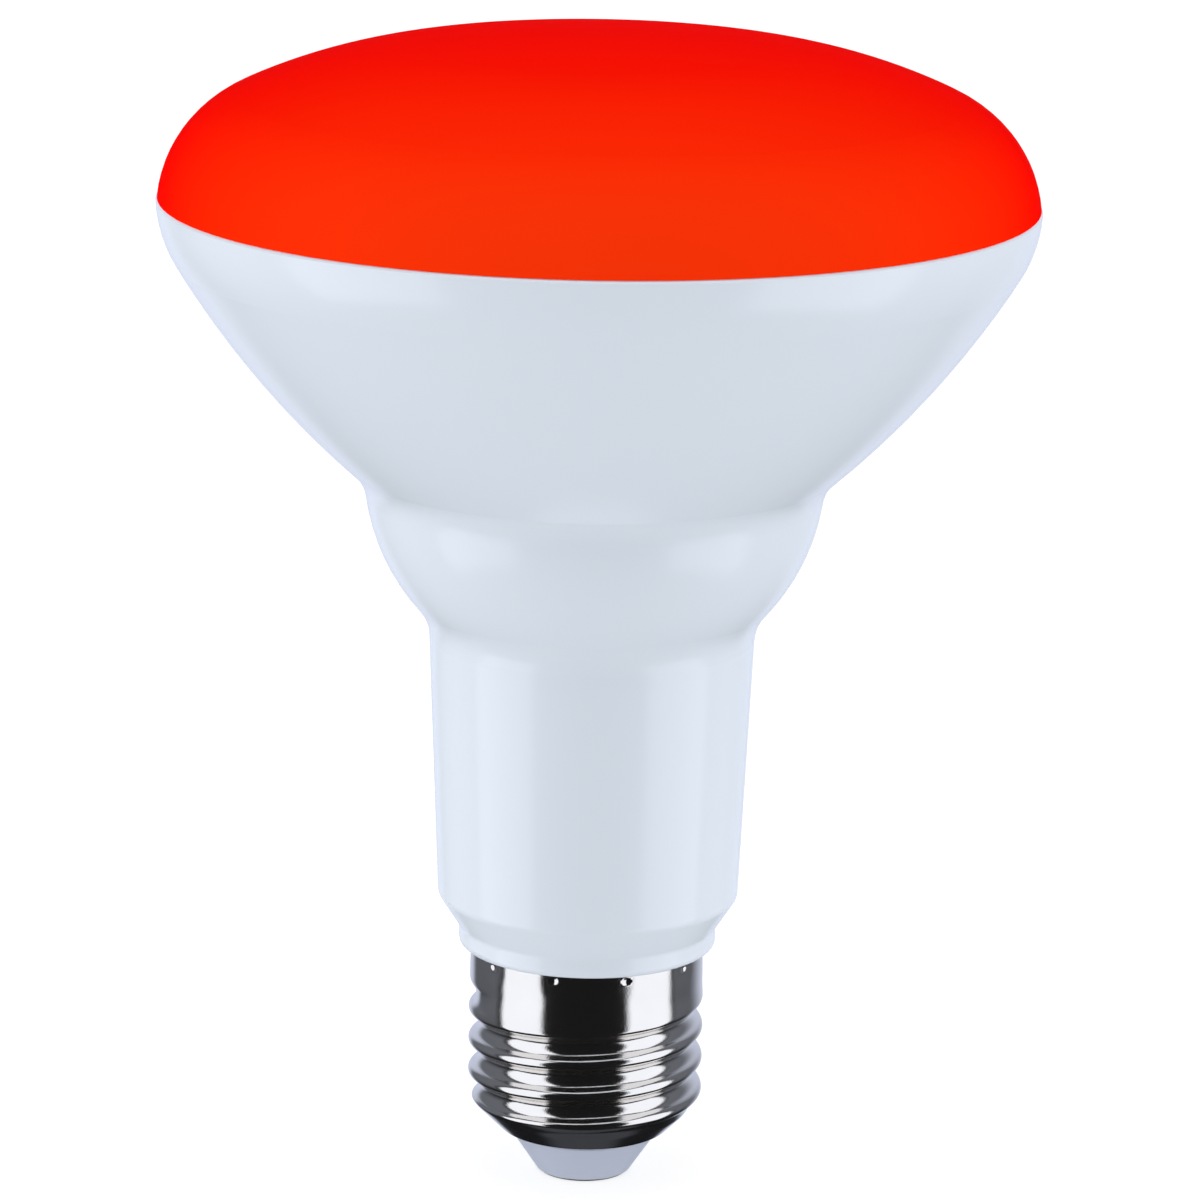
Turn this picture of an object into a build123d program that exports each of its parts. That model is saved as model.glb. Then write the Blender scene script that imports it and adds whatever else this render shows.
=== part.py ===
from build123d import *
import os
from math import ceil, cos, radians, sin, tan

# LED reflector bulb on a medium (E26) screw base.
# Millimetres, +Z along the axis from the base to the lens, origin at the centre of the base contact's face.

# Centre contact
contact_diameter = 10.2
contact_thickness = 0.5
contact_proud = 0.25
contact_bevel = 0.15
stem_diameter = 2.4

# Base insulator
nose_height = 4.98
nose_rim = 0.12
bead_height = 0.45
bead_step = 0.2
insulator_seat_height = 2.4

# Screw shell
lip_diameter = 17.1
lip_width = 0.86
cone_angle = 45.0
shell_length = 21.15
sheet_thickness = 0.3
skirt_diameter = 25.85
skirt_height = 3.9
crest_diameter = 26.05
thread_depth = 1.2
thread_pitch = 3.629
thread_start_angle = 271.0
thread_sections_per_turn = 10
runout_height = 2.8

# Punched dents that stake the shell to the housing
stake_count = 10
stake_ball_radius = 1.0
stake_depth = 0.2
stake_drop = 0.75
stake_start_angle = 2.0

# Housing
collar_diameter = 28.44
collar_height = 2.29
collar_edge_radius = 0.8
collar_root_radius = 1.0
chamfer_height = 3.65
neck_bottom_diameter = 33.18
neck_bottom_radius = 1.5
neck_length = 31.2
neck_top_diameter = 35.81
neck_blend_radius = 5.6
bulge_height = 15.39
bulge_radius = 23.29
waist_diameter = 50.19
waist_blend_radius = 5.0
flare_height = 24.24
flare_radius = 100.7
shoulder_width = 1.99
shoulder_height = 6.82
rim_diameter = 95.25
rim_bevel = 0.3
rim_wall = 2.2
recess_depth = 3.0

# Diffuser lens
lens_setback = 0.15
lens_edge_draft = 6.0
lens_shoulder_radius = 13.83
lens_shoulder_turn = 58.8
lens_side_radius = 60.1
lens_side_turn = 19.4

# Fits between the pieces
contact_fit = 0.05
lip_fit = 0.05
spigot_fit = 0.05
lens_fit = 0.1

# Heights along the axis, from the contact's face up
lip_z = contact_proud + nose_height
insulator_top_z = lip_z + insulator_seat_height
rim_z = lip_z + shell_length
skirt_z = rim_z - skirt_height
runout_z = skirt_z - runout_height
chamfer_z = rim_z + collar_height
neck_z = chamfer_z + chamfer_height
bulge_z = neck_z + neck_length
waist_z = bulge_z + bulge_height
flare_top_z = waist_z + flare_height
seam_z = flare_top_z + shoulder_height

# Radii that several pieces share
contact_r = contact_diameter / 2
stem_r = stem_diameter / 2
lip_r = lip_diameter / 2
cone_foot_r = lip_r + lip_width
skirt_r = skirt_diameter / 2
crest_r = crest_diameter / 2
root_r = crest_r - thread_depth
collar_r = collar_diameter / 2
neck_bottom_r = neck_bottom_diameter / 2
neck_top_r = neck_top_diameter / 2
waist_r = waist_diameter / 2
rim_r = rim_diameter / 2
recess_r = rim_r - rim_wall


def turned(outline):
    """Solid turned about Z from a closed outline of (radius, height)."""
    return revolve(Plane.XZ * outline, Axis.Z)


def rounded(outline, corners):
    """The outline with each named corner rounded to its radius."""
    for corner, radius in corners:
        nearest = outline.vertices().sort_by_distance(corner)[0]
        outline = fillet(nearest, radius)
    return outline


def cone_radius(z, inset):
    """Radius of the shell's lower cone at a height, moved inwards from the outer face by inset."""
    slope = radians(cone_angle)
    return cone_foot_r + (z - lip_z) * tan(slope) - inset / cos(slope)


def cone_height(radius, inset):
    """Height at which the inset lower cone reaches a radius."""
    slope = radians(cone_angle)
    return lip_z + (radius - cone_foot_r + inset / cos(slope)) / tan(slope)


def stake_balls(inset):
    """Balls of the punch that dents the skirt, grown by inset for the faces behind the sheet."""
    reach = skirt_r - stake_depth + stake_ball_radius
    ball = Pos(reach, 0, rim_z - stake_drop) * Sphere(stake_ball_radius + inset)
    step = 360 / stake_count
    return [Rot(0, 0, stake_start_angle + step * i) * ball for i in range(stake_count)]


def shell_inside(inset):
    """Form that fills the screw shell, moved inwards from the shell's outer face by inset."""
    core_r = root_r - inset
    floor_z = lip_z + inset
    outline = make_face(
        Polyline(
            (0, rim_z),
            (skirt_r - inset, rim_z),
            (skirt_r - inset, skirt_z),
            (core_r, runout_z),
            (core_r, cone_height(core_r, inset)),
            (cone_radius(floor_z, inset), floor_z),
            (0, floor_z),
            close=True,
        )
    )
    return turned(outline) - stake_balls(inset)


def thread_section(z):
    """Circle of the rolled thread at a height, set off the axis and turned once per pitch.

    Over the run-out the circle grows to the skirt's and comes back on the axis.
    """
    fade = max(0, (z - runout_z) / runout_height)
    offset = thread_depth / 2
    radius = (crest_r - offset) * (1 - fade) + skirt_r * fade
    offset *= 1 - fade
    angle = radians(thread_start_angle + 360 * (z - lip_z) / thread_pitch)
    centre = (offset * cos(angle), offset * sin(angle), z)
    return Wire([Edge.make_circle(radius, Plane(centre))])


def thread_body():
    """Round thread rolled into the sheet, drawn through its sections from the lip up to the skirt."""
    height = skirt_z - lip_z
    count = ceil(height / thread_pitch * thread_sections_per_turn)
    sections = [thread_section(lip_z + height * i / count) for i in range(count + 1)]
    return Solid.make_loft(sections, ruled=True)


def lower_cone():
    """Cone that the lower end of the thread runs out on, from the lip up to the skirt."""
    top_r = skirt_r + thread_depth
    outline = make_face(
        Polyline(
            (0, lip_z),
            (cone_foot_r, lip_z),
            (top_r, cone_height(top_r, 0)),
            (top_r, skirt_z),
            (0, skirt_z),
            close=True,
        )
    )
    return turned(outline)


def make_screw_shell():
    """Nickel-plated sheet shell: lip, cone, rolled thread, plain skirt and the punched stakes."""
    skirt = Pos(0, 0, (skirt_z + rim_z) / 2) * Cylinder(skirt_r, skirt_height)
    outside = (thread_body() & lower_cone()) + skirt - stake_balls(0)
    hole = Pos(0, 0, (lip_z + insulator_top_z) / 2) * Cylinder(lip_r, insulator_seat_height)
    return outside - shell_inside(sheet_thickness) - hole


def make_base_insulator():
    """Moulded insulator: seated in the shell's cone, out through its lip and tapered to the contact."""
    inset = sheet_thickness + spigot_fit
    seat_z = lip_z + inset
    bead_r = lip_r - lip_fit
    pocket_r = contact_r + contact_fit
    bore_r = stem_r + contact_fit
    outline = make_face(
        Polyline(
            (bore_r, contact_thickness),
            (pocket_r, contact_thickness),
            (pocket_r, contact_proud),
            (pocket_r + nose_rim, contact_proud),
            (bead_r - bead_step, lip_z - bead_height),
            (bead_r, lip_z - bead_height),
            (bead_r, seat_z),
            (cone_radius(seat_z, inset), seat_z),
            (cone_radius(insulator_top_z, inset), insulator_top_z),
            (bore_r, insulator_top_z),
            close=True,
        )
    )
    return turned(outline)


def make_centre_contact():
    """Turned contact: a flat button with a bevelled edge, on a stem pressed through the insulator."""
    outline = make_face(
        Polyline(
            (0, 0),
            (contact_r - contact_bevel, 0),
            (contact_r, contact_bevel),
            (contact_r, contact_thickness),
            (stem_r, contact_thickness),
            (stem_r, insulator_top_z),
            (0, insulator_top_z),
            close=True,
        )
    )
    return turned(outline)


def make_housing():
    """Moulded housing: flared rim, round bulge, tapered neck and collar, with the spigot in the shell."""
    collar_foot = (collar_r, rim_z)
    collar_top = (collar_r, chamfer_z)
    neck_bottom = (neck_bottom_r, neck_z)
    neck_top = (neck_top_r, bulge_z)
    waist = (waist_r, waist_z)
    flare_top = (rim_r - shoulder_width, flare_top_z)
    rim = (rim_r, seam_z - rim_bevel)
    below = Polyline((0, rim_z), collar_foot, collar_top, neck_bottom, neck_top)
    bulge = RadiusArc(neck_top, waist, -bulge_radius)
    flare = RadiusArc(waist, flare_top, -flare_radius)
    shoulder = TangentArc(flare_top, rim, tangent=flare % 1)
    floor_z = seam_z - recess_depth
    top = Polyline(
        rim,
        (rim_r - rim_bevel, seam_z),
        (recess_r, seam_z),
        (recess_r, floor_z),
        (0, floor_z),
        (0, rim_z),
    )
    outline = rounded(
        make_face(below + bulge + flare + shoulder + top),
        [
            (collar_foot, collar_edge_radius),
            (collar_top, collar_root_radius),
            (neck_bottom, neck_bottom_radius),
            (neck_top, neck_blend_radius),
            (waist, waist_blend_radius),
        ],
    )
    spigot_z = insulator_top_z + spigot_fit
    spigot = split(
        shell_inside(sheet_thickness + spigot_fit),
        Plane.XY.offset(spigot_z),
        keep=Keep.TOP,
    )
    return turned(outline) + spigot


def make_diffuser_lens():
    """Moulded dome: a tight shoulder, a flatter side and a shallow crown, plugged into the rim recess."""
    edge = (rim_r - lens_setback, seam_z)
    draft = radians(lens_edge_draft)
    crown_turn = 90 - lens_edge_draft - lens_shoulder_turn - lens_side_turn
    shoulder = JernArc(edge, (-sin(draft), cos(draft)), lens_shoulder_radius, lens_shoulder_turn)
    side = JernArc(shoulder @ 1, shoulder % 1, lens_side_radius, lens_side_turn)
    crown_radius = (side @ 1).X / sin(radians(crown_turn))
    crown = JernArc(side @ 1, side % 1, crown_radius, crown_turn)
    plug_r = recess_r - lens_fit
    plug_z = seam_z - recess_depth + lens_fit
    plug = Polyline(crown @ 1, (0, plug_z), (plug_r, plug_z), (plug_r, seam_z), edge)
    return turned(make_face(shoulder + side + crown + plug))


pieces = {
    "centre_contact": make_centre_contact(),
    "base_insulator": make_base_insulator(),
    "screw_shell": make_screw_shell(),
    "housing": make_housing(),
    "diffuser_lens": make_diffuser_lens(),
}

os.makedirs("parts", exist_ok=True)
for name, piece in pieces.items():
    piece.label = name
    export_step(piece, f"parts/{name}.step")
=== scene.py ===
from math import cos, pi, radians, sin, tan

import bpy
from mathutils import Matrix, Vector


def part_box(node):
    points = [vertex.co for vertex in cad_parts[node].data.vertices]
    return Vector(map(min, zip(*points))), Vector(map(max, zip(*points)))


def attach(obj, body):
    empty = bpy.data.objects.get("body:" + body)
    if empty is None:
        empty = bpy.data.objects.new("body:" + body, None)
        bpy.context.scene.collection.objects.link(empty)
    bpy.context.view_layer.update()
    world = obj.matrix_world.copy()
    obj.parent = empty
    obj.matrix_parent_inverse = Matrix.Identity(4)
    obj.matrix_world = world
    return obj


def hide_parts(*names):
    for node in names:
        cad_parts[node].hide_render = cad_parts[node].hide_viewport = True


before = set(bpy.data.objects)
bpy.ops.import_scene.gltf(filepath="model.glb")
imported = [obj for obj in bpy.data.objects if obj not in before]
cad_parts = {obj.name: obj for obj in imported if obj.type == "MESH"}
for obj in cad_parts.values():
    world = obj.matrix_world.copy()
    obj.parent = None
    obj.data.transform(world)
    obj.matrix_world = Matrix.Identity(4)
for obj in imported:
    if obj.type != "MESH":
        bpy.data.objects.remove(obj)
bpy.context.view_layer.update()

# LED reflector bulb: red domed lens, gloss white housing and a nickel-plated screw shell.
# Metres, +Z along the bulb's axis from the base contact to the lens, the photographed side towards -Y.

MM = 0.001
MICRON = 0.000001

# Screw shell, as in the solid
shell_low, shell_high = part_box("screw_shell")
lip_z = shell_low.z
rim_z = shell_high.z
skirt_radius = 12.925 * MM
skirt_z = rim_z - 3.9 * MM
runout_z = skirt_z - 2.8 * MM
lip_radius = 8.55 * MM
lip_width = 0.86 * MM
lip_bend = 0.4 * MM
cone_angle = radians(45)
sheet_thickness = 0.3 * MM
crest_radius = 13.025 * MM
root_radius = 11.825 * MM
thread_pitch = 3.629 * MM
thread_start = radians(271)
crest_bend = 0.72 * MM
root_bend = 1.24 * MM
groove_end_z = 20.45 * MM
groove_end_rise = 0.6 * MM
cone_blend = 0.9 * MM
stake_count = 10
stake_ball = 0.8 * MM
stake_depth = 0.15 * MM
stake_drop = 0.75 * MM
stake_start = radians(2)
stake_burr = 0.03 * MM
stake_burr_width = 0.12 * MM
stake_dish = 0.05 * MM
stake_dish_radius = 2.4 * MM
shell_segments = 432
crease_angle = radians(50)
join_distance = 0.1 * MICRON

# Camera of the photo
camera_place = (0.0, -601.90 * MM, 215.01 * MM)
camera_pitch = radians(13.9531)
camera_yaw = radians(0.0767)
camera_roll = radians(0.99)
camera_lens = 170.03
camera_sensor = 36
camera_near = 0.01
camera_far = 20

# Studio: directions are degrees from the camera's side, positive to the right, or above the horizon.
# An edge is its place and half the width of its soft step, and a band is its two edges and that half width.
middle = (0, 5)

# Soft light on the bulb: dim in front, brighter from both flanks, even from above and behind
front_fill = 0.53
left_fill = 1.96
right_fill = 1.81
flank_edge = (43, 5)
back_fill = 0.95
back_fill_edge = (98, 5)
top_fill = 0.95
top_fill_edge = (45, 5)
front_under_share = 0.34
flank_under_share = 0.92
under_share_edge = (-40, 5)

# Studio as gloss and plate show it: two softboxes, dark in front and below, pale behind
dark_shown = 0.0085
box_shown = 1.2
box_tint = (0.935, 0.973, 1.06)
left_box = (-90, -43, 3)
right_box = (42, 92, 4)
box_heights = (-40, 56, 4)
side_shown = 0.145
side_tint = (0.97, 1.05, 1.25)
side_edge = (96, 6)
side_low_edge = (-25, 20)
back_shown = 0.95
back_tint = (0.64, 0.69, 0.87)
back_left_edge = (150, 10)
back_right_edge = (146, 24)
back_low_edge = (-30, 5)
top_shown = 1.0
top_edge = (64, 3)
under_shown = 0.05
under_edge = (-62, 5)
under_back_edge = (90, 30)

# Floor
floor_shade = 0.36
floor_glow = 0.73
floor_drop = 0.05 * MM
floor_radius = 4.0
floor_corners = 96


class Net:
    """A node tree with short calls to add and join its nodes."""

    def __init__(self, tree):
        self.tree = tree
        tree.nodes.clear()

    def add(self, kind, inputs=None, **settings):
        """A node of that kind, its inputs set to plain values or joined to other sockets."""
        node = self.tree.nodes.new(kind)
        for name, value in settings.items():
            setattr(node, name, value)
        for name, value in (inputs or {}).items():
            self.feed(node.inputs[name], value)
        return node

    def feed(self, socket, value):
        """Sets a socket to a plain value, or joins it to another socket."""
        if isinstance(value, bpy.types.NodeSocket):
            self.tree.links.new(value, socket)
        else:
            socket.default_value = value

    def math(self, operation, *values):
        """One sum on numbers; gives its result's socket."""
        node = self.add("ShaderNodeMath", operation=operation)
        for socket, value in zip(node.inputs, values):
            self.feed(socket, value)
        return node.outputs[0]

    def between(self, factor, low, high):
        """The number from low to high that a factor from 0 to 1 picks."""
        return self.add("ShaderNodeMix", {"Factor": factor, "A": low, "B": high}).outputs[0]

    def blend(self, factor, low, high):
        """The colour from low to high that a factor from 0 to 1 picks."""
        node = self.add("ShaderNodeMix", data_type="RGBA")
        self.feed(node.inputs[0], factor)
        for socket, colour in ((node.inputs[6], low), (node.inputs[7], high)):
            self.feed(socket, (*colour, 1) if isinstance(colour, tuple) else colour)
        return node.outputs[2]

    def sag(self, bend, away):
        """How far a circle of radius bend has dropped at a distance from its top."""
        bend_square = self.math("MULTIPLY", bend, bend)
        left = self.math("SUBTRACT", bend_square, self.math("MULTIPLY", away, away))
        return self.math("SUBTRACT", bend, self.math("SQRT", self.math("MAXIMUM", left, 0)))

    def keep(self, geometry, name, kind, value):
        """Keeps a value on each point under a name; gives the geometry."""
        inputs = {"Geometry": geometry, "Name": name, "Value": value}
        node = self.add("GeometryNodeStoreNamedAttribute", inputs, data_type=kind, domain="POINT")
        return node.outputs["Geometry"]

    def kept(self, name, kind):
        """The value that was kept under a name."""
        node = self.add("GeometryNodeInputNamedAttribute", {"Name": name}, data_type=kind)
        return node.outputs["Attribute"]

    def rise(self, value, low, high):
        """0 below low, 1 above high and a smooth rise between them."""
        inputs = {"Value": value, "From Min": low, "From Max": high}
        return self.add("ShaderNodeMapRange", inputs, interpolation_type="SMOOTHSTEP").outputs["Result"]


# Finishes

def finish_of(name):
    """A new material, its net, its shader and the place on the piece that its patterns follow."""
    material = bpy.data.materials.new(name)
    material.use_nodes = True
    net = Net(material.node_tree)
    shader = net.add("ShaderNodeBsdfPrincipled")
    net.add("ShaderNodeOutputMaterial", {"Surface": shader.outputs[0]})
    place = net.add("ShaderNodeTexCoord").outputs["Object"]
    return material, net, shader, place


def spread(net, place, size, detail=3.0):
    """Noise with features of that size, from 0 to 1 about 0.5."""
    node = net.add("ShaderNodeTexNoise", {"Vector": place, "Scale": 1 / size, "Detail": detail})
    return node.outputs["Fac"]


def roughen(net, shader, factor, low, high):
    """A roughness from low to high that a factor from 0 to 1 picks."""
    node = net.add("ShaderNodeMapRange", {"Value": factor, "To Min": low, "To Max": high})
    net.feed(shader.inputs["Roughness"], node.outputs["Result"])


def relief(net, shader, height, depth):
    """A fine relief on the shader's normal."""
    bump = net.add("ShaderNodeBump", {"Height": height, "Distance": depth, "Strength": 1.0})
    net.feed(shader.inputs["Normal"], bump.outputs["Normal"])


def gloss_white():
    """Smooth moulded white of the housing, slightly blue, with a faint waviness."""
    material, net, shader, place = finish_of("gloss_white")
    cloud = spread(net, place, size=30 * MM)
    colour = net.blend(cloud, (0.700, 0.762, 0.850), (0.715, 0.778, 0.865))
    net.feed(shader.inputs["Base Color"], colour)
    roughen(net, shader, spread(net, place, size=4 * MM), low=0.15, high=0.19)
    shader.inputs["Specular IOR Level"].default_value = 0.6
    relief(net, shader, spread(net, place, size=2.5 * MM), depth=1.5 * MICRON)
    return material


def satin_red():
    """Translucent red of the lens under a clear red skin, with a fine frosted surface."""
    material, net, shader, place = finish_of("satin_red")
    cloud = spread(net, place, size=25 * MM)
    colour = net.blend(cloud, (0.97, 0.066, 0.006), (1.00, 0.071, 0.007))
    net.feed(shader.inputs["Base Color"], colour)
    roughen(net, shader, spread(net, place, size=2 * MM), low=0.50, high=0.60)
    shader.inputs["Specular IOR Level"].default_value = 0.0
    shader.inputs["Coat Weight"].default_value = 1.0
    shader.inputs["Coat Roughness"].default_value = 0.5
    shader.inputs["Coat IOR"].default_value = 1.008
    shader.inputs["Coat Tint"].default_value = (0.97, 0.50, 0.40, 1)
    relief(net, shader, spread(net, place, size=0.25 * MM), depth=2 * MICRON)
    return material


def bright_nickel():
    """Bright plate on rolled sheet, with the fine grain of the sheet in it."""
    material, net, shader, place = finish_of("bright_nickel")
    cloud = spread(net, place, size=3 * MM)
    colour = net.blend(cloud, (0.77, 0.745, 0.715), (0.83, 0.805, 0.775))
    net.feed(shader.inputs["Base Color"], colour)
    shader.inputs["Metallic"].default_value = 1.0
    roughen(net, shader, spread(net, place, size=0.4 * MM), low=0.06, high=0.14)
    relief(net, shader, spread(net, place, size=0.2 * MM, detail=2.0), depth=4.5 * MICRON)
    return material


def moulded_grey():
    """Pale satin moulding of the base insulator."""
    material, net, shader, place = finish_of("moulded_grey")
    cloud = spread(net, place, size=3 * MM)
    colour = net.blend(cloud, (0.44, 0.484, 0.605), (0.467, 0.511, 0.637))
    net.feed(shader.inputs["Base Color"], colour)
    roughen(net, shader, spread(net, place, size=0.8 * MM), low=0.32, high=0.42)
    relief(net, shader, spread(net, place, size=0.2 * MM), depth=2 * MICRON)
    return material


def turned_contact():
    """Dull plated contact with the rings that turning leaves."""
    turning_rings = 0.3 / MM
    material, net, shader, place = finish_of("turned_contact")
    rings = net.add(
        "ShaderNodeTexWave",
        {"Vector": place, "Scale": turning_rings},
        wave_type="RINGS",
        rings_direction="Z",
    ).outputs["Fac"]
    cloud = spread(net, place, size=1 * MM)
    colour = net.blend(cloud, (0.36, 0.34, 0.32), (0.50, 0.48, 0.45))
    net.feed(shader.inputs["Base Color"], colour)
    shader.inputs["Metallic"].default_value = 1.0
    roughen(net, shader, rings, low=0.28, high=0.42)
    relief(net, shader, rings, depth=3 * MICRON)
    return material


# Screw shell, rolled from sheet

shell_sizes = {
    "Segments": shell_segments,
    "Lip Height": lip_z,
    "Foot Radius": lip_radius + lip_width,
    "Cone Slope": tan(cone_angle),
    "Cone Blend": cone_blend,
    "Crest Radius": crest_radius,
    "Thread Pitch": thread_pitch,
    "Thread Start": thread_start,
    "Crest Bend": crest_bend,
    "Root Bend": root_bend,
    "Groove End": groove_end_z,
    "Groove End Rise": groove_end_rise,
    "Run-out Height": runout_z,
    "Skirt Height": skirt_z,
    "Skirt Radius": skirt_radius,
    "Stake Step": 2 * pi / stake_count,
    "Stake Start": stake_start,
    "Stake Height": rim_z - stake_drop,
    "Stake Ball": stake_ball,
    "Stake Depth": stake_depth,
    "Stake Burr": stake_burr,
    "Stake Burr Width": stake_burr_width,
    "Stake Dish": stake_dish,
    "Stake Dish Radius": stake_dish_radius,
    "Crease Angle": crease_angle,
}


def shell_section():
    """The sheet's section as a closed line of (radius, height), its outer rows marked to be rolled.

    The rows lie closer together towards the stakes.
    """
    foot = lip_radius + lip_width
    tangent = lip_bend * tan(cone_angle / 2)
    bend_steps = 5
    bend = []
    for step in range(bend_steps):
        turn = cone_angle * step / bend_steps
        bend.append((foot - tangent + lip_bend * sin(turn), lip_z + lip_bend * (1 - cos(turn))))
    first_z = lip_z + lip_bend * (1 - cos(cone_angle))
    rows = 170
    crowding = 1.3
    rolled = []
    for row in range(rows + 1):
        share = 1 - (1 - row / rows) ** crowding
        rolled.append((crest_radius, first_z + (rim_z - first_z) * share))
    core = root_radius - sheet_thickness
    floor_z = lip_z + sheet_thickness
    slant = sheet_thickness / cos(cone_angle)
    inside = [
        (skirt_radius - sheet_thickness, rim_z),
        (skirt_radius - sheet_thickness, skirt_z),
        (core, runout_z),
        (core, lip_z + (core + slant - foot) / tan(cone_angle)),
        (foot + sheet_thickness * tan(cone_angle) - slant, floor_z),
        (lip_radius, floor_z),
        (lip_radius, lip_z),
    ]
    points = bend + rolled + inside
    marks = [0.0] * len(bend) + [1.0] * len(rolled) + [0.0] * len(inside)
    mesh = bpy.data.meshes.new("screw_shell_section")
    edges = [(i, (i + 1) % len(points)) for i in range(len(points))]
    mesh.from_pydata([(radius, height, 0) for radius, height in points], edges, [])
    mesh.attributes.new("rolled", "FLOAT", "POINT").data.foreach_set("value", marks)
    return mesh


def groove_depth(net, given, angle, up):
    """Depth of the rolled groove, up to its end: round crests meet round roots at a common tangent."""
    risen = net.math("MULTIPLY", net.math("SUBTRACT", angle, given["Thread Start"]), 1 / (2 * pi))
    from_crest = net.math("SUBTRACT", up, net.math("MULTIPLY", risen, given["Thread Pitch"]))
    half_pitch = net.math("MULTIPLY", given["Thread Pitch"], 0.5)
    beside = net.math("WRAP", from_crest, half_pitch, net.math("MULTIPLY", half_pitch, -1))
    crest_way = net.math("ABSOLUTE", beside)
    root_way = net.math("SUBTRACT", half_pitch, crest_way)

    bends = net.math("ADD", given["Crest Bend"], given["Root Bend"])
    lean = net.math("DIVIDE", half_pitch, bends)
    upright = net.math("SQRT", net.math("SUBTRACT", 1, net.math("MULTIPLY", lean, lean)))
    depth = net.math("MULTIPLY", bends, net.math("SUBTRACT", 1, upright))
    crest = net.sag(given["Crest Bend"], crest_way)
    hollow = net.math("SUBTRACT", depth, net.sag(given["Root Bend"], root_way))
    on_crest = net.math("LESS_THAN", crest_way, net.math("MULTIPLY", given["Crest Bend"], lean))
    groove = net.between(on_crest, hollow, crest)

    crest_up = net.math("SUBTRACT", up, beside)
    groove_up = net.math("MULTIPLY_ADD", net.math("SIGN", beside), half_pitch, crest_up)
    groove_z = net.math("ADD", groove_up, given["Lip Height"])
    end = net.math("ADD", given["Groove End"], given["Groove End Rise"])
    left = net.math("SUBTRACT", 1, net.rise(groove_z, given["Groove End"], end))
    return net.math("MULTIPLY", groove, left)


def stake_relief(net, given, angle, height):
    """How far a punched stake sinks the skirt: the punch's ball and the dish round it, less its burr."""
    half_step = net.math("MULTIPLY", given["Stake Step"], 0.5)
    from_start = net.math("SUBTRACT", angle, given["Stake Start"])
    beside = net.math("WRAP", from_start, half_step, net.math("MULTIPLY", half_step, -1))
    across = net.math("MULTIPLY", beside, given["Skirt Radius"])
    along = net.math("SUBTRACT", height, given["Stake Height"])
    squares = net.math("ADD", net.math("MULTIPLY", across, across), net.math("MULTIPLY", along, along))
    away = net.math("SQRT", squares)
    dent = net.math("SUBTRACT", given["Stake Depth"], net.sag(given["Stake Ball"], away))
    dent = net.math("MAXIMUM", dent, 0)

    rest = net.math("SUBTRACT", given["Stake Ball"], given["Stake Depth"])
    ball_square = net.math("MULTIPLY", given["Stake Ball"], given["Stake Ball"])
    edge = net.math("SQRT", net.math("SUBTRACT", ball_square, net.math("MULTIPLY", rest, rest)))
    from_edge = net.math("ABSOLUTE", net.math("SUBTRACT", away, edge))
    burr = net.math("SUBTRACT", 1, net.rise(from_edge, 0.0, given["Stake Burr Width"]))
    dish = net.math("SUBTRACT", 1, net.rise(away, 0.0, given["Stake Dish Radius"]))
    sunk = net.math("MULTIPLY_ADD", dish, given["Stake Dish"], dent)
    return net.math("SUBTRACT", sunk, net.math("MULTIPLY", burr, given["Stake Burr"]))


def rolled_radius(net, given, angle, height):
    """Outer radius of the shell at an angle and a height: cone, thread, run-outs, skirt and stakes."""
    up = net.math("SUBTRACT", height, given["Lip Height"])
    fade = net.rise(height, given["Run-out Height"], given["Skirt Height"])
    body = net.between(fade, given["Crest Radius"], given["Skirt Radius"])
    body = net.math("SUBTRACT", body, groove_depth(net, given, angle, up))
    cone = net.math("MULTIPLY_ADD", up, given["Cone Slope"], given["Foot Radius"])
    outside = net.math("SMOOTH_MIN", body, cone, given["Cone Blend"])
    return net.math("SUBTRACT", outside, stake_relief(net, given, angle, height))


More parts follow.
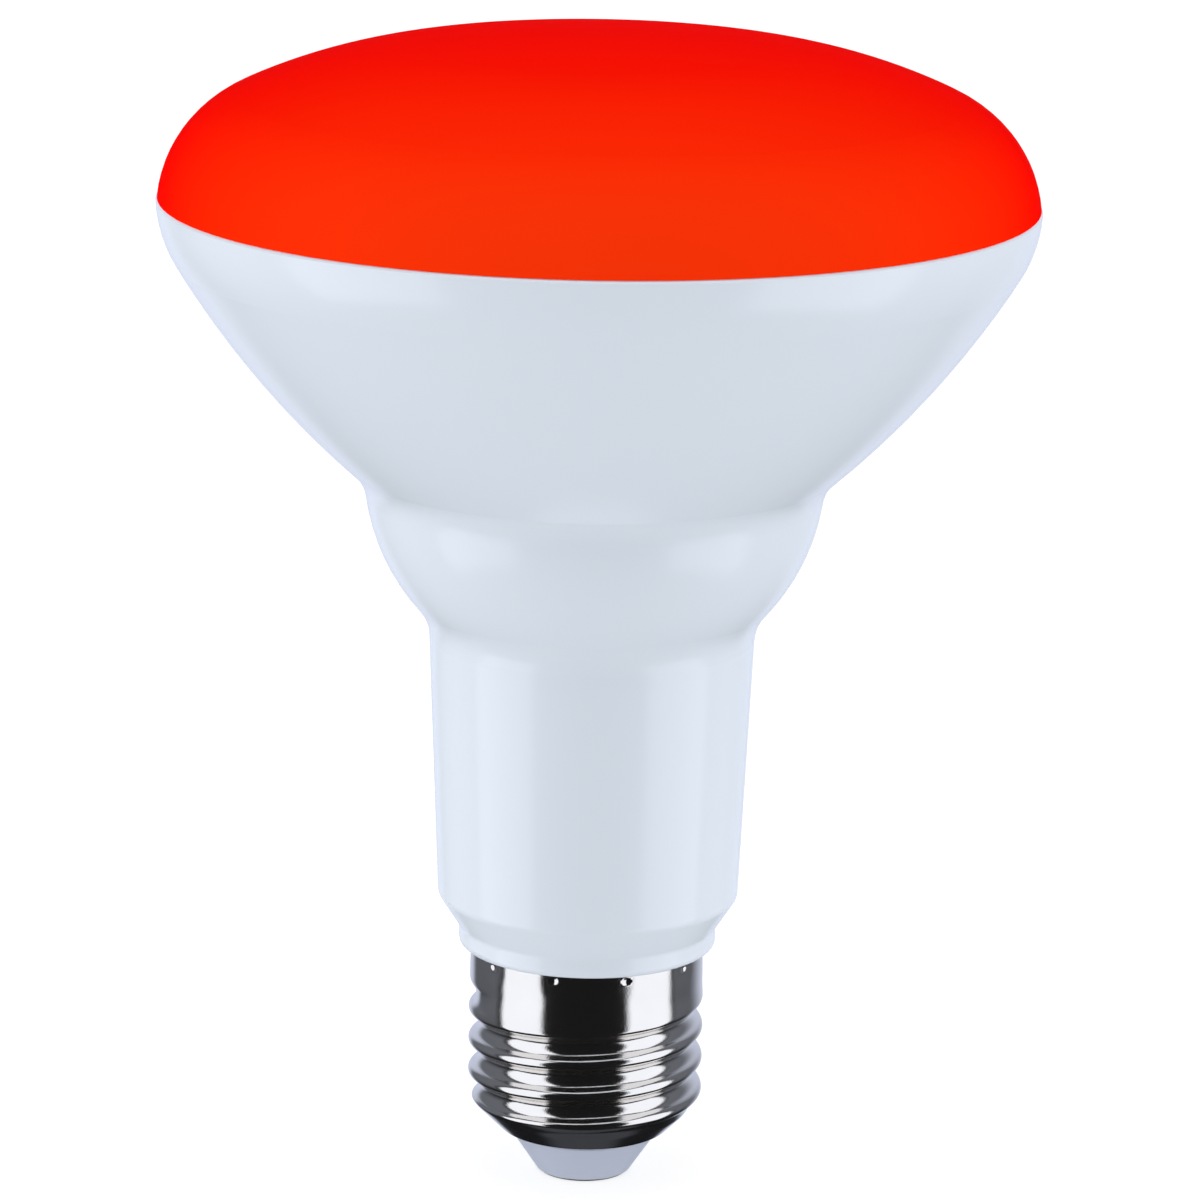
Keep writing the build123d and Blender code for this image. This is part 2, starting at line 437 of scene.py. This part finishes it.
def shell_tree():
    """Turns the section about Z, then rolls the thread, its run-outs and the stakes into the outer rows."""
    tree = bpy.data.node_groups.new("rolled_screw_shell", "GeometryNodeTree")
    net = Net(tree)
    tree.interface.new_socket("Section", in_out="INPUT", socket_type="NodeSocketGeometry")
    for name, value in shell_sizes.items():
        kind = "NodeSocketInt" if isinstance(value, int) else "NodeSocketFloat"
        tree.interface.new_socket(name, in_out="INPUT", socket_type=kind)
    tree.interface.new_socket("Plate", in_out="INPUT", socket_type="NodeSocketMaterial")
    tree.interface.new_socket("Shell", in_out="OUTPUT", socket_type="NodeSocketGeometry")
    given = net.add("NodeGroupInput").outputs

    place = net.add("GeometryNodeInputPosition").outputs["Position"]
    section = net.add("GeometryNodeMeshToCurve", {"Mesh": given["Section"]}).outputs["Curve"]
    section = net.keep(section, "section_place", "FLOAT_VECTOR", place)
    ring = {"Resolution": given["Segments"], "Radius": 1.0}
    path = net.add("GeometryNodeCurvePrimitiveCircle", ring).outputs["Curve"]
    axes = net.add("ShaderNodeSeparateXYZ", {"Vector": place}).outputs
    path = net.keep(path, "turn", "FLOAT", net.math("ARCTAN2", axes["Y"], axes["X"]))
    sheet = net.add("GeometryNodeCurveToMesh", {"Curve": path, "Profile Curve": section}).outputs["Mesh"]

    section_place = net.kept("section_place", "FLOAT_VECTOR")
    parts = net.add("ShaderNodeSeparateXYZ", {"Vector": section_place}).outputs
    angle = net.kept("turn", "FLOAT")
    height = parts["Y"]
    rolled = rolled_radius(net, given, angle, height)
    radius = net.between(net.kept("rolled", "FLOAT"), parts["X"], rolled)
    turned = {
        "X": net.math("MULTIPLY", radius, net.math("COSINE", angle)),
        "Y": net.math("MULTIPLY", radius, net.math("SINE", angle)),
        "Z": height,
    }
    spot = net.add("ShaderNodeCombineXYZ", turned).outputs["Vector"]
    placed = {"Geometry": sheet, "Position": spot}
    sheet = net.add("GeometryNodeSetPosition", placed).outputs["Geometry"]
    joined = {"Geometry": sheet, "Distance": join_distance}
    sheet = net.add("GeometryNodeMergeByDistance", joined).outputs["Geometry"]
    smooth = {"Geometry": sheet, "Shade Smooth": True}
    sheet = net.add("GeometryNodeSetShadeSmooth", smooth).outputs["Geometry"]
    bent = net.add("GeometryNodeInputMeshEdgeAngle").outputs["Unsigned Angle"]
    creased = net.math("GREATER_THAN", bent, given["Crease Angle"])
    sharp = {"Geometry": sheet, "Selection": creased, "Shade Smooth": False}
    sheet = net.add("GeometryNodeSetShadeSmooth", sharp, domain="EDGE").outputs["Geometry"]
    sheet = net.add("GeometryNodeRealizeInstances", {"Geometry": sheet}).outputs["Geometry"]
    plated = {"Geometry": sheet, "Material": given["Plate"]}
    sheet = net.add("GeometryNodeSetMaterial", plated).outputs["Geometry"]
    net.add("NodeGroupOutput", {"Shell": sheet})
    return tree


def make_screw_shell(plate):
    """The rolled shell as a plain mesh in place of the solid."""
    maker = bpy.data.objects.new("screw_shell_maker", shell_section())
    bpy.context.scene.collection.objects.link(maker)
    tree = shell_tree()
    modifier = maker.modifiers.new("rolled_screw_shell", "NODES")
    modifier.node_group = tree
    inputs = [item for item in tree.interface.items_tree if item.in_out == "INPUT"]
    sockets = {item.name: item.identifier for item in inputs}
    for name, value in shell_sizes.items():
        modifier[sockets[name]] = value
    modifier[sockets["Plate"]] = plate
    bpy.context.view_layer.update()
    made = maker.evaluated_get(bpy.context.evaluated_depsgraph_get())
    mesh = bpy.data.meshes.new_from_object(made)
    mesh.name = "screw_shell_rolled"
    for name in ("section_place", "turn", "rolled"):
        mesh.attributes.remove(mesh.attributes[name])
    bpy.data.objects.remove(maker)
    shell = bpy.data.objects.new("screw_shell_rolled", mesh)
    bpy.context.scene.collection.objects.link(shell)
    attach(shell, "root")
    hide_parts("screw_shell")


def make_camera():
    """The photo's camera, placed, turned and set as the fit to its outline gave it."""
    data = bpy.data.cameras.new("photo_camera")
    data.sensor_width = camera_sensor
    data.lens = camera_lens
    data.clip_start = camera_near
    data.clip_end = camera_far
    camera = bpy.data.objects.new("photo_camera", data)
    bpy.context.scene.collection.objects.link(camera)
    camera.matrix_world = (
        Matrix.Translation(camera_place)
        @ Matrix.Rotation(-camera_yaw, 4, "Z")
        @ Matrix.Rotation(pi / 2 - camera_pitch, 4, "X")
        @ Matrix.Rotation(camera_roll, 4, "Z")
    )
    bpy.context.scene.camera = camera


def make_studio_light():
    """Soft tent round the bulb, in which gloss and plate show two softboxes, and white to the camera."""
    world = bpy.data.worlds.new("studio")
    world.use_nodes = True
    bpy.context.scene.world = world
    net = Net(world.node_tree)
    aim = net.add("ShaderNodeTexCoord").outputs["Generated"]
    axes = net.add("ShaderNodeSeparateXYZ", {"Vector": aim}).outputs
    side = net.math("DEGREES", net.math("ARCTAN2", axes["X"], net.math("MULTIPLY", axes["Y"], -1)))
    above = net.math("DEGREES", net.math("ARCSINE", axes["Z"]))
    turn = net.math("ABSOLUTE", side)

    def past(value, edge, soft):
        """0 before an edge and 1 after it, over a soft step."""
        return net.rise(value, edge - soft, edge + soft)

    def inside(value, low, high, soft):
        """1 inside a band and 0 outside it, over soft steps."""
        return net.math("SUBTRACT", past(value, low, soft), past(value, high, soft))

    to_right = past(side, *middle)
    flank = past(turn, *flank_edge)
    lit = net.between(flank, front_fill, net.between(to_right, left_fill, right_fill))
    lit = net.between(past(turn, *back_fill_edge), lit, back_fill)
    lit = net.between(past(above, *top_fill_edge), lit, top_fill)
    under_share = net.between(flank, front_under_share, flank_under_share)
    lit = net.math("MULTIPLY", lit, net.between(past(above, *under_share_edge), under_share, 1.0))

    boxes = net.math("ADD", inside(side, *left_box), inside(side, *right_box))
    boxes = net.math("MULTIPLY", boxes, inside(above, *box_heights))
    sides = past(turn, *side_edge)
    behind = net.between(to_right, past(turn, *back_left_edge), past(turn, *back_right_edge))
    back = net.math("MULTIPLY", behind, past(above, *back_low_edge))
    below = net.math("SUBTRACT", 1, past(above, *under_edge))
    under = net.math("MULTIPLY", past(turn, *under_back_edge), below)
    shown = net.between(sides, dark_shown, side_shown)
    shown = net.between(past(above, *side_low_edge), dark_shown, shown)
    shown = net.between(under, shown, under_shown)
    shown = net.between(boxes, shown, box_shown)
    shown = net.between(back, shown, back_shown)
    shown = net.between(past(above, *top_edge), shown, top_shown)
    tint = net.blend(sides, box_tint, side_tint)
    tint = net.blend(back, tint, back_tint)

    rays = net.add("ShaderNodeLightPath").outputs
    colour = net.blend(rays["Is Glossy Ray"], (1, 1, 1), tint)
    level = net.between(rays["Is Glossy Ray"], lit, shown)
    tent = net.add("ShaderNodeBackground", {"Color": colour, "Strength": level}).outputs[0]
    white = net.add("ShaderNodeBackground", {"Color": (1, 1, 1, 1), "Strength": 1.0}).outputs[0]
    seen = net.add("ShaderNodeMixShader", {"Fac": rays["Is Camera Ray"]})
    net.feed(seen.inputs[1], tent)
    net.feed(seen.inputs[2], white)
    net.add("ShaderNodeOutputWorld", {"Surface": seen.outputs[0]})


def make_floor():
    """Pale floor that keeps the bulb's soft shadow, is white to the camera and clear from below."""
    bpy.ops.mesh.primitive_circle_add(vertices=floor_corners, radius=floor_radius, fill_type="NGON")
    floor = bpy.context.object
    floor.name = "floor"
    floor.location.z = -floor_drop
    material = bpy.data.materials.new("pale_floor")
    material.use_nodes = True
    net = Net(material.node_tree)
    camera_sees = net.add("ShaderNodeLightPath").outputs["Is Camera Ray"]
    shade = net.add("ShaderNodeBsdfDiffuse", {"Color": (floor_shade, floor_shade, floor_shade, 1)})
    glow = net.add("ShaderNodeEmission", {"Strength": net.math("MULTIPLY", camera_sees, floor_glow)})
    both = net.add("ShaderNodeAddShader")
    net.feed(both.inputs[0], shade.outputs[0])
    net.feed(both.inputs[1], glow.outputs[0])
    from_below = net.add("ShaderNodeNewGeometry").outputs["Backfacing"]
    one_sided = net.add("ShaderNodeMixShader", {"Fac": from_below})
    net.feed(one_sided.inputs[1], both.outputs[0])
    net.feed(one_sided.inputs[2], net.add("ShaderNodeBsdfTransparent").outputs[0])
    net.add("ShaderNodeOutputMaterial", {"Surface": one_sided.outputs[0]})
    floor.data.materials.append(material)
    floor.visible_glossy = False
    floor.visible_diffuse = False
    floor.visible_shadow = False


def dress(node, material):
    """Gives a CAD node its finish."""
    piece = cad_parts[node]
    piece.data.materials.clear()
    piece.data.materials.append(material)


dress("diffuser_lens", satin_red())
dress("housing", gloss_white())
make_screw_shell(bright_nickel())
dress("base_insulator", moulded_grey())
dress("centre_contact", turned_contact())
make_camera()
make_studio_light()
make_floor()
bpy.context.scene.view_settings.view_transform = "Standard"
